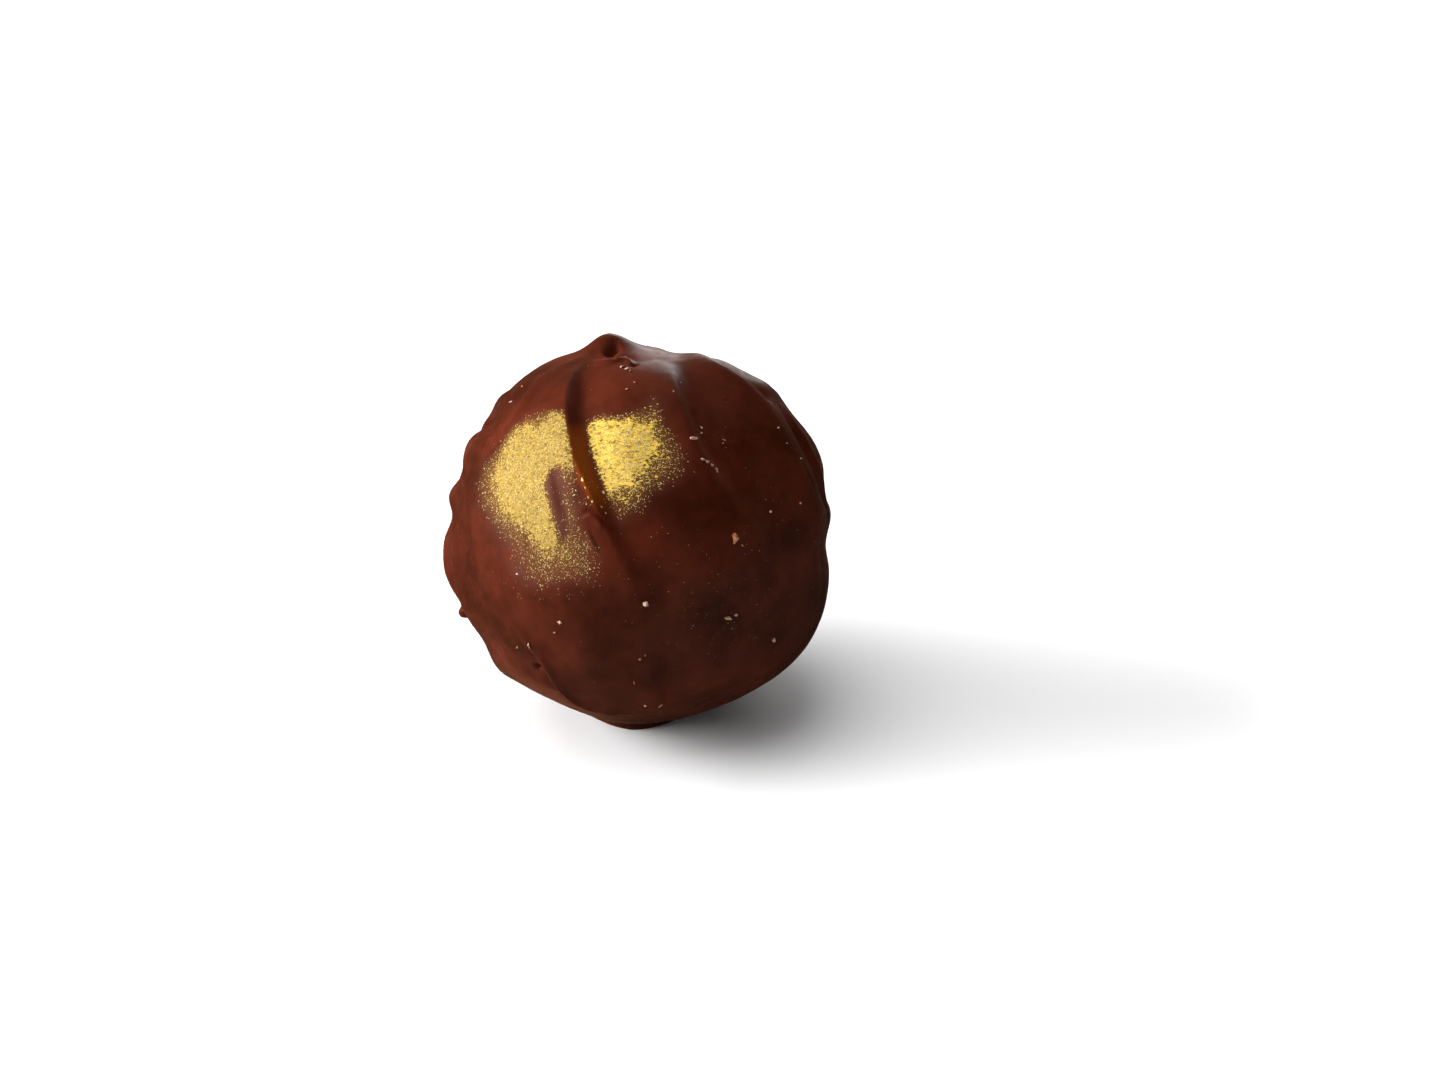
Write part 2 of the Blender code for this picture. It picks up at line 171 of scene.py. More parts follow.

# Bits of nut and sugar that show on the front: (mm right, mm up, length, width, kind). Two pale ones
# low on the left are painted highlights. Their uneven sides cut into these sizes, so each is laid
# SHOWN_LARGER times as long and wide.
SHOWN_LARGER = 1.2
FRONT_CRUMBS = (
    (4.0, 7.6, 0.75, 0.42, "pale"), (4.75, 5.95, 0.42, 0.3, "pale"), (5.1, 5.75, 0.4, 0.3, "pale"),
    (5.45, 5.5, 0.38, 0.28, "pale"), (5.75, 5.2, 0.34, 0.26, "pale"), (5.85, 5.0, 0.26, 0.2, "pale"),
    (7.25, -0.15, 0.62, 0.95, "tan"), (7.8, -0.7, 0.24, 0.2, "tan"), (0.3, -5.25, 0.6, 0.72, "sugar"),
    (6.7, -6.35, 0.8, 0.42, "pale"), (7.35, -6.1, 0.3, 0.22, "pale"), (-6.3, -6.65, 0.5, 0.4, "pale"),
    # The thin pale bits at (-8.7, -8.45) and (-9.6, -8.6) are painted highlights on a small ridge.
    (-6.7, -7.45, 0.3, 0.22, "pale"), (-8.7, -8.45, 0.22, 0.5, "pale"), (-9.6, -8.6, 0.15, 0.3, "pale"),
    (-1.5, 13.1, 0.4, 0.25, "pale"), (-1.1, 12.95, 0.4, 0.25, "pale"), (-0.85, 12.8, 0.26, 0.2, "pale"),
    (4.65, 8.4, 0.26, 0.22, "sugar"), (4.65, 8.0, 0.26, 0.22, "sugar"), (10.6, 8.4, 0.26, 0.22, "sugar"),
    (12.35, 6.0, 0.26, 0.24, "sugar"), (12.3, 2.55, 0.24, 0.22, "sugar"), (10.0, 1.9, 0.24, 0.22, "sugar"),
    (6.4, 7.45, 0.34, 0.16, "pale"), (6.35, 7.2, 0.2, 0.18, "pale"), (11.25, 7.2, 0.34, 0.1, "pale"),
    (10.25, -8.0, 0.36, 0.42, "pale"), (-0.1, -9.5, 0.24, 0.24, "tan"), (0.3, -9.2, 0.2, 0.24, "tan"),
    (-0.55, -11.3, 0.16, 0.55, "tan"), (1.45, -13.1, 0.6, 0.2, "pale"), (0.3, -13.1, 0.26, 0.22, "sugar"),
    (-1.1, 11.4, 0.3, 0.2, "tan"), (-0.5, 11.9, 0.26, 0.2, "tan"), (3.0, 11.9, 0.22, 0.18, "pale"),
    (2.5, 11.2, 0.2, 0.18, "pale"), (-10.1, 10.4, 0.5, 0.16, "pale"), (-9.6, -2.9, 0.24, 0.22, "sugar"),
)


class Fold(NamedTuple):
    """One fold. Its crest follows the route, whose points are (direction, strength, width).

    Its steep side, with a valley along it, lies to the right of a route that is drawn downwards, and
    to the left of one that is drawn upwards. Height and depth are those of crest and valley, and
    rise, drop and valley are how far the gentle side, the steep side and the valley reach.
    """

    route: list
    height: float
    rise: float
    drop: float
    depth: float
    valley: float


class Swelling(NamedTuple):
    """A swelling of the ball or, where its height is below zero, a hollow."""

    centre: np.ndarray
    height: float
    radius: float
    reach: float


def turned_to_front(points):
    """Unit directions, in the model's axes, of points in the eye's axes (right, up, towards it)."""
    x, y, towards = np.moveaxis(np.asarray(points, float), -1, 0)
    turned = np.stack([x, y * TILT_SIN - towards * TILT_COS, y * TILT_COS + towards * TILT_SIN], axis=-1)
    return turned / np.linalg.norm(turned, axis=-1, keepdims=True)


def on_front(right, up):
    """Unit direction from the ball's centre to the point that the eye sees so many mm right and up."""
    eye = np.array(EYE)
    shares = np.linspace(1.0 - FRONT_DEPTH / EYE[2], 1.0, FRONT_STEPS)
    points = eye + shares[:, None] * (np.array([right, up, 0.0]) - eye)
    directions = turned_to_front(points)
    outside = np.linalg.norm(points, axis=1) - bare_radius(directions)
    return directions[np.argmax(outside <= 0) if outside.min() <= 0 else np.argmin(outside)]


def on_rim(angle, behind):
    """Unit direction of a point at this angle of the outline, so many degrees behind it."""
    around, back = math.radians(angle), math.radians(behind)
    return turned_to_front(
        (math.cos(around) * math.cos(back), math.sin(around) * math.cos(back), -math.sin(back))
    )


def from_curl(away, bearing):
    """Unit direction so many degrees away from the curl, on a bearing that is 0 towards the front."""
    pole = on_rim(CURL_ANGLE, CURL_BEHIND)
    towards = turned_to_front((0.0, 0.0, 1.0))
    front = towards - towards.dot(pole) * pole
    front /= np.linalg.norm(front)
    side = np.cross(pole, front)
    a, b = math.radians(away), math.radians(bearing)
    return math.cos(a) * pole + math.sin(a) * (math.cos(b) * front + math.sin(b) * side)


def front_route(*points):
    """A route over the front from points given as (mm right, mm up, strength) and, at will, width."""
    return [(on_front(right, up), strength, *(width or (1,))) for right, up, strength, *width in points]


def rim_route(*points):
    """A route along the outline from points given as (angle, degrees behind it, strength)."""
    return [(on_rim(angle, behind), strength, 1) for angle, behind, strength in points]


def left_folds():
    """The folds of the front's left third."""
    far_left = rim_route((170, 5, 0.2), (178, 6, 0.8), (186, 7, 1), (194, 8, 1), (203, 9, 0.3))
    left = front_route(
        (-11.9, -8.7, 0.3), (-13.8, -4.7, 1), (-14.5, -0.7, 1), (-14.1, 3.2, 1), (-12.9, 7.0, 1),
        (-11.3, 9.5, 1), (-8.6, 12.0, 0.5),
    )
    inner_left = front_route(
        (-10.9, 7.4, 0), (-8.9, 10.6, 0.8), (-7.0, 12.7, 1), (-5.8, 13.3, 0.9), (-4.4, 14.0, 0.4)
    )
    brushed = front_route((-7.4, 6.0, 0), (-7.1, 4.3, 1), (-6.7, 2.4, 1), (-6.0, -0.3, 0))
    return [
        Fold(far_left, height=0.55, rise=0.9, drop=0.9, depth=0.1, valley=1.5),
        Fold(left, height=0.35, rise=1.3, drop=0.5, depth=0.25, valley=1.2),
        Fold(inner_left, height=0.18, rise=0.9, drop=0.6, depth=0.08, valley=1.2),
        Fold(brushed, height=0.1, rise=1.2, drop=0.5, depth=0.14, valley=1.1),
    ]


def long_folds():
    """The long folds that run down the middle and the right of the front."""
    main = front_route(
        (-4.9, 13.3, 0), (-5.5, 12.2, 0.45, 1.3), (-5.8, 10.7, 0.9, 1.4), (-5.6, 8.2, 1, 1.5),
        (-5.0, 5.7, 1, 1.2), (-2.9, 0.8, 0.6, 1.3), (-0.6, -5.0, 0.3, 2.8), (0.7, -10.4, 0.55, 2.0),
        (1.2, -12.7, 0.2),
    )
    middle = front_route(
        (1.6, 13.6, 0), (2.2, 12.3, 0.5), (2.8, 10.4, 0.9), (3.4, 8.3, 1), (4.4, 6.0, 1, 1.1),
        (6.3, 2.6, 1, 1.6), (8.4, -0.6, 0.7, 2), (9.8, -3.4, 0.2, 2),
    )
    right = front_route(
        (3.8, 13.9, 0.5), (5.7, 12.9, 1), (9.0, 10.4, 1), (11.3, 6.7, 1), (13.3, 1.6, 0.9),
        (13.7, -2.6, 0.1),
    )
    far_right = rim_route(
        (68, 4, 0.3), (60, 4, 0.8), (51, 5, 1), (38, 4, 1), (22, 3, 0.8), (6, 2, 1), (-3, 3, 0)
    )
    return [
        Fold(main, height=0.42, rise=1.9, drop=0.48, depth=0.7, valley=2.2),
        Fold(middle, height=0.45, rise=2.4, drop=1.0, depth=0.8, valley=3.2),
        Fold(right, height=0.7, rise=1.7, drop=0.45, depth=0.7, valley=1.3),
        Fold(far_right, height=0.25, rise=1.0, drop=1.0, depth=0.1, valley=2.0),
    ]


def low_folds():
    """The flap low on the left, with a thin crest, and the ledge under it."""
    flap = front_route(
        (-1.3, -13.7, 0.4), (-2.45, -13.5, 0.8), (-4.3, -12.9, 1), (-6.0, -11.65, 1),
        (-6.9, -10.35, 1), (-8.05, -9.0, 0.8), (-9.0, -7.9, 0.2),
    )
    ledge = front_route((-5.7, -12.3, 0), (-7.5, -11.45, 1), (-9.1, -10.6, 1), (-11.0, -9.4, 0))
    return [
        Fold(flap, height=0.35, rise=1.1, drop=0.4, depth=0.2, valley=1.1),
        Fold(ledge, height=0.2, rise=1.0, drop=0.35, depth=0.2, valley=1.0),
    ]


def curl_folds():
    """The slot and the lip that the chocolate left where it was drawn up into the curl."""
    slot = front_route((-1.8, 15.0, 0), (-2.5, 14.7, 1), (-2.7, 14.4, 1), (-2.9, 13.8, 0))
    lip = front_route(
        (-3.4, 13.8, 0), (-2.85, 13.5, 0.8), (-1.6, 13.65, 1), (-1.0, 13.6, 0.8), (-0.6, 13.2, 0)
    )
    return [
        Fold(slot, height=0.0, rise=0.5, drop=0.16, depth=1.1, valley=0.5),
        Fold(lip, height=0.16, rise=0.4, drop=0.25, depth=0.15, valley=0.6),
    ]


def back_folds():
    """The folds of the back, which run down from the curl like the front's, by a seeded draw."""
    draw = random.Random(BACK_SEED)
    found = []
    for i in range(BACK_FOLDS):
        bearing = BACK_FIRST_BEARING + i * BACK_BEARING_STEP + draw.uniform(-5, 5)
        start, end = draw.uniform(16, 34), draw.uniform(92, 128)
        bend, phase = draw.uniform(4, 9), draw.uniform(0, math.tau)
        route = []
        for share in np.linspace(0.0, 1.0, BACK_ROUTE_POINTS):
            swing = BACK_TWIST * share + bend * math.sin(phase + 4.0 * share)
            strength = math.sin(math.pi * (0.12 + 0.88 * share)) ** 2
            route.append((from_curl(start + (end - start) * share, bearing + swing), strength**0.3, 1))
        size = draw.uniform(0.7, 1.15)
        found.append(
            Fold(route, height=0.34 * size, rise=2.0 * size, drop=0.55 * size, depth=0.34 * size, valley=1.8)
        )
    return found


def fine_folds():
    """What is too fine for the solid: thin crests, lips and tears in the coating."""
    thin_crest = front_route(
        (-1.3, -13.7, 0), (-3.5, -13.3, 0.8), (-5.2, -12.4, 1), (-6.5, -11.1, 1), (-6.9, -10.4, 1),
        (-7.4, -9.6, 1), (-8.1, -9.0, 0),
    )
    long_lip = front_route(
        (-3.6, 13.7, 0), (-2.7, 13.5, 1), (-2.1, 13.5, 1), (-1.4, 13.75, 1), (-1.0, 13.6, 1), (-0.7, 13.3, 0)
    )
    short_lip = front_route((-3.0, 14.1, 0), (-2.6, 13.9, 1), (-2.2, 13.8, 0))
    curl_valley = front_route((-4.1, 14.6, 0), (-3.8, 13.9, 1), (-3.3, 13.4, 0))
    outer = front_route(
        (14.9, 1.2, 0), (14.2, 3.9, 1), (13.2, 6.0, 1), (12.3, 7.6, 1), (11.2, 9.4, 0.5), (10.5, 10.6, 0.1),
        (9.7, 11.8, 0.4), (7.8, 12.8, 0),
    )
    pocket_rim = front_route((10.0, 9.0, 0), (10.1, 9.7, 1), (9.9, 10.4, 1), (9.2, 10.6, 0))
    slit = front_route((-9.0, 0.6, 0), (-9.0, 0.0, 1), (-8.9, -0.9, 1), (-8.9, -1.5, 0))
    tear = front_route((-4.6, 1.3, 0), (-3.9, 1.6, 1), (-3.2, 1.2, 1), (-2.9, 0.5, 0))
    low_tear = front_route((-4.3, 0.6, 0), (-3.9, -0.1, 1), (-3.5, -0.9, 0.8), (-3.3, -1.4, 0))
    return [
        Fold(thin_crest, height=0.26, rise=0.36, drop=0.22, depth=0.2, valley=0.6),
        Fold(long_lip, height=0.14, rise=0.2, drop=0.13, depth=0.1, valley=0.35),
        Fold(short_lip, height=0.12, rise=0.16, drop=0.14, depth=0.05, valley=0.3),
        Fold(curl_valley, height=0.0, rise=0.3, drop=0.2, depth=0.22, valley=0.45),
        Fold(outer, height=0.38, rise=0.9, drop=0.4, depth=0.35, valley=0.9),
        Fold(pocket_rim, height=0.22, rise=0.3, drop=0.2, depth=0.1, valley=0.4),
        Fold(slit, height=0.04, rise=0.2, drop=0.08, depth=0.22, valley=0.22),
        Fold(tear, height=0.14, rise=0.3, drop=0.12, depth=0.16, valley=0.4),
        Fold(low_tear, height=0.08, rise=0.3, drop=0.14, depth=0.06, valley=0.4),
    ]


def swellings():
    """The ball's unevenness that is larger than a fold: the curl first, then round the outline."""
    # Each row is an angle of the outline, the degrees behind it, the height, the radius and the reach.
    rows = (
        (CURL_ANGLE, CURL_BEHIND, 1.25, 1.8, 1.8), (122, -4, 0.68, 4.6, 4.6), (142, -1, -0.6, 1.3, 3.5),
        (151, 0, 0.25, 1.2, 2.5), (161, 0, -0.4, 1.0, 3.0), (168, 1, 0.2, 1.0, 2.0),
        (175, 0, -0.5, 1.1, 3.5), (189, 2, 0.25, 1.6, 2.5), (212, 0, -0.5, 1.5, 3.5),
        (223, -3, 0.35, 1.6, 3.0), (248, -6, -0.45, 4.0, 4.0), (285, -8, -0.45, 5.0, 5.0),
        (327, -4, 0.65, 5.0, 5.0), (359, -1, -0.55, 2.0, 5.0), (14, 0, -0.6, 1.4, 3.0),
        (50, 2, 0.5, 1.5, 2.5), (77, 0, -0.7, 1.4, 4.0),
    )
    return [Swelling(on_rim(angle, behind), *sizes) for angle, behind, *sizes in rows]


def fine_swellings():
    """The pocket on the right, the ends of the curl's slot and small pits, too fine for the solid."""
    pocket = Swelling(on_front(9.4, 11.0), height=-0.3, radius=0.9, reach=0.9)
    pits = [
        Swelling(on_front(right, up), height=-depth, radius=radius, reach=radius)
        for right, up, depth, radius in (
            (-8.0, -10.15, 0.5, 0.28), (-6.1, -11.85, 0.45, 0.22), (-7.3, -12.55, 0.3, 0.18),
            (-7.5, -12.15, 0.16, 0.14), (-0.55, 13.2, 0.25, 0.24), (6.6, 10.6, 0.1, 0.15),
            (13.5, 6.0, 0.12, 0.2), (2.2, 14.2, 0.1, 0.2),
        )
    ]
    slot_top = Swelling(on_front(-2.05, 14.75), height=-0.5, radius=0.26, reach=0.6)
    slot_low = Swelling(on_front(-2.6, 14.3), height=-0.45, radius=0.26, reach=0.5)
    return [pocket, slot_top, slot_low, *pits]


def smooth_step(low, high, values):
    """0 before low, 1 past high, and a smooth change between. Low may be the larger of the two."""
    t = np.clip((values - low) / (high - low), 0.0, 1.0)
    return t * t * (3.0 - 2.0 * t)


def smooth_route(route):
    """A Catmull-Rom curve through a route, as unit directions, ways along it, strengths and widths."""
    rows = np.array([[*direction, strength, width] for direction, strength, width in route])
    rows = np.vstack([2 * rows[0] - rows[1], rows, 2 * rows[-1] - rows[-2]])
    t = np.linspace(0.0, 1.0, ROUTE_STEPS, endpoint=False)[:, None]
    samples = []
    for a, b, c, d in zip(rows, rows[1:], rows[2:], rows[3:]):
        curve = 2 * b + (c - a) * t + (2 * a - 5 * b + 4 * c - d) * t**2 + (3 * b - a - 3 * c + d) * t**3
        samples.append(curve / 2)
    samples = np.vstack([*samples, rows[-2]])
    points = samples[:, :3] / np.linalg.norm(samples[:, :3], axis=1, keepdims=True)
    ways = np.gradient(points, axis=0)
    ways /= np.linalg.norm(ways, axis=1, keepdims=True)
    return points, ways, np.clip(samples[:, 3], 0.0, None), samples[:, 4]


def nearest_of(directions, points):
    """Which of the points lies nearest to each direction, worked out a block at a time."""
    blocks = [directions[i : i + BLOCK] for i in range(0, len(directions), BLOCK)]
    return np.concatenate([np.argmax(block @ points.T, axis=1) for block in blocks])


def fold_relief(directions, fold):
    """Height that a fold adds along each direction, in mm."""
    points, ways, strengths, widths = smooth_route(fold.route)
    nearest = nearest_of(directions, points)
    off = BALL_RADIUS * (directions - points[nearest])
    across = np.cross(points, ways)
    side = np.einsum("ij,ij->i", off, across[nearest]) / widths[nearest]
    past_end = np.einsum("ij,ij->i", off, ways[nearest])
    gentle = fold.height * np.exp(-((side / fold.rise) ** 2))
    steep = (fold.height + fold.depth) * np.exp(-((side / fold.drop) ** 2))
    steep -= fold.depth * np.exp(-((side / fold.valley) ** 2))
    fade = np.exp(-((past_end / fold.rise) ** 2))
    return np.where(side < 0, gentle, steep) * strengths[nearest] * fade


def swelling_relief(directions, swelling):
    """Height that one swelling, or hollow, adds along each direction, in mm."""
    towards = turned_to_front((0.0, 0.0, 1.0))
    backwards = towards.dot(swelling.centre) * swelling.centre - towards
    backwards /= np.linalg.norm(backwards)
    off = BALL_RADIUS * (directions - swelling.centre)
    back = off @ backwards
    sideways_squared = np.einsum("ij,ij->i", off, off) - back**2
    return swelling.height * np.exp(-sideways_squared / swelling.radius**2 - (back / swelling.reach) ** 2)


def waves_relief(directions, waves):
    """Soft noise over the ball, in mm, from waves given as (height in mm, waves along the radius)."""
    return np.array(
        [sum(height * noise.noise(Vector(d) * scale) for height, scale in waves) for d in directions]
    )


def bare_radius(directions):
    """Distance from the ball's centre along each direction, in mm, before folds and foot are added."""
    radius = BALL_RADIUS + waves_relief(directions, HAND_WAVES)
    for swelling in swellings():
        radius += swelling_relief(directions, swelling)
    return radius


def bead_relief(directions):
    """The small round drop low on the left edge, as height over the coating, in mm."""
    off = BALL_RADIUS * np.linalg.norm(directions - on_rim(BEAD_ANGLE, BEAD_BEHIND), axis=1)
    dome = BEAD_STANDS_OUT + np.sqrt(np.clip(BEAD_RADIUS**2 - off**2, 0.0, None))
    return np.where(off < BEAD_RADIUS, dome, 0.0)


def coating_radius(directions):
    """Distance from the ball's centre to the finished coating along each direction, in mm."""
    radius = bare_radius(directions)
    for fold in left_folds() + long_folds() + low_folds() + curl_folds() + back_folds() + fine_folds():
        radius += fold_relief(directions, fold)
    for swelling in fine_swellings():
        radius += swelling_relief(directions, swelling)
    radius += waves_relief(directions, RIPPLE_WAVES)
    radius += bead_relief(directions)
    down = np.clip(-directions[:, 2], 1e-6, 1.0)
    around = np.degrees(np.arctan2(directions[:, 1], directions[:, 0]))
    foot_edge = np.arctan(np.interp(around, *zip(*FOOT_EDGE), period=360) / CENTRE_HEIGHT)
    past_foot = smooth_step(-0.3 * FOOT_SPREAD, 0.7 * FOOT_SPREAD, np.arccos(down) - foot_edge)
    bottom = (CENTRE_HEIGHT + CUT_BELOW_FLOOR) / down
    return np.where(past_foot < 1, radius * past_foot + bottom * (1 - past_foot), radius)


def seen_from_eye(points):
    """Where the eye sees points of the ball, as mm right, mm up and mm towards it from the centre."""
    x, y, z = np.moveaxis(np.asarray(points, float), -1, 0)
    eye_x, eye_y, eye_z = EYE
    up = y * TILT_SIN + z * TILT_COS
    towards = z * TILT_SIN - y * TILT_COS
    share = eye_z / (eye_z - towards)
    return eye_x + (x - eye_x) * share, eye_y + (up - eye_y) * share, towards


def depth_inside(outline, x, y):
    """How far inside an outline each point lies, in mm. It is below zero outside."""
    corners = np.array(outline)
    inside = np.zeros(x.shape, bool)
    nearest = np.full(x.shape, np.inf)
    for (ax, ay), (bx, by) in zip(corners, np.roll(corners, -1, axis=0)):
        if ay != by:
            inside ^= ((ay > y) != (by > y)) & (x < (bx - ax) * (y - ay) / (by - ay) + ax)
        length_squared = (bx - ax) ** 2 + (by - ay) ** 2
        share = np.clip(((x - ax) * (bx - ax) + (y - ay) * (by - ay)) / length_squared, 0.0, 1.0)
        nearest = np.minimum(nearest, np.hypot(x - ax - share * (bx - ax), y - ay - share * (by - ay)))
    return np.where(inside, nearest, -nearest)


def groove_middle(y):
    """How far right the middle of the groove lies at each height on the front, in mm."""
    return -1.9 - 0.34 * y


def gold_cover(x, y):
    """How thickly gold dust lies where the eye sees (x, y) mm: 1 is solid, and 0 is none."""
    cover = np.zeros(x.shape)
    for gold, grains in ((LEFT_GOLD, LEFT_GRAINS), (RIGHT_GOLD, RIGHT_GRAINS)):
        into_gold = depth_inside(gold, x, y)
        into_grains = np.clip(depth_inside(grains, x, y), 0.0, None)
        fringe = into_grains / (into_grains + np.clip(-into_gold, 1e-3, None))
        cover = np.maximum(cover, 0.5 * fringe**FRINGE_THINS + 0.5 * smooth_step(-0.2, 0.9, into_gold))
    cover *= 1.0 - STROKE_BARE * smooth_step(-0.35, 0.3, depth_inside(BARE_STROKE, x, y))
    # Less dust towards the lower left, so the patch grows darker there.
    cover *= 1.0 - LOWER_LEFT_FADE * smooth_step(-4.0, -9.0, x) * smooth_step(3.5, -3.0, y)
    # The dust ends sharply at the groove's left side and softly at its right.
    soft = np.where(x > groove_middle(y), 0.55, 0.12)
    return cover * (1.0 - GROOVE_BARE * smooth_step(-soft, 0.2, depth_inside(GROOVE, x, y)))


def gold_haze(x, y):
    """How much the finest dust greys the coating where the eye sees (x, y) mm, from 0 to 1."""
    haze = np.zeros(x.shape)
    for grains in (LEFT_GRAINS, RIGHT_GRAINS):
        haze = np.maximum(haze, smooth_step(-0.6, 1.6, depth_inside(grains, x, y)))
    return haze * (1.0 - smooth_step(-0.2, 0.3, depth_inside(GROOVE, x, y)))


def amber_dust_and_gold_bounce(x, y):
    """How strongly the groove is tinted amber where the eye sees (x, y) mm: partly a thin film of dust,
    partly painted reflection of the gold's light.
    """
    in_groove = smooth_step(-0.3, 0.3, depth_inside(GROOVE, x, y))
    return in_groove * (1.0 - smooth_step(7.4, 9.2, y)) * smooth_step(1.2, 4.0, y)


def brushed_way(x, y, draw):
    """The way that a grain lies at (x, y): roughly outwards from the middle of its patch."""
    middle_x, middle_y = LEFT_GOLD_MIDDLE if x < PATCHES_PART_AT else RIGHT_GOLD_MIDDLE
    turn = math.atan2(y - middle_y, x - middle_x) + draw.gauss(0.0, 0.7)
    return math.cos(turn), math.sin(turn)


def linear_colour(code, alpha=1.0):
    """A linear colour, as Blender's sockets take it, from an sRGB hex code."""
    parts = [int(code[i : i + 2], 16) / 255 for i in (1, 3, 5)]
    linear = [v / 12.92 if v <= 0.04045 else ((v + 0.055) / 1.055) ** 2.4 for v in parts]
    return (*linear, alpha)


def set_node(tree, node, settings, links):
    """Sets a node: settings name its sockets or own properties, and links join sockets to outputs."""
    for name, value in settings.items():
        if isinstance(name, int) or name in node.inputs:
            node.inputs[name].default_value = value
        else:
            setattr(node, name, value)
    for name, source in links.items():
        tree.links.new(source, node.inputs[name])


def add_node(tree, kind, settings=None, links=None):
    """Adds a node with its settings and links."""
    node = tree.nodes.new(kind)
    set_node(tree, node, settings or {}, links or {})
    return node


def new_material(name):
    """An empty node material, its tree and its shader."""
    material = bpy.data.materials.new(name)
    material.use_nodes = True
    tree = material.node_tree
    return material, tree, tree.nodes["Principled BSDF"]


def waves_per_metre(size):
    """Noise scale for a pattern whose features are so many mm across."""
    return 1.0 / (size * MM)


# The brown under the finest dust and between the grains of a patch, and the groove's amber: partly a
# thin film of dust, partly painted reflection of the gold's light.
HAZED_BROWN = "#5a3a30"
BRONZED_BROWN = "#5c3c12"
AMBER_DUST_AND_GOLD_BOUNCE = "#6a2e05"


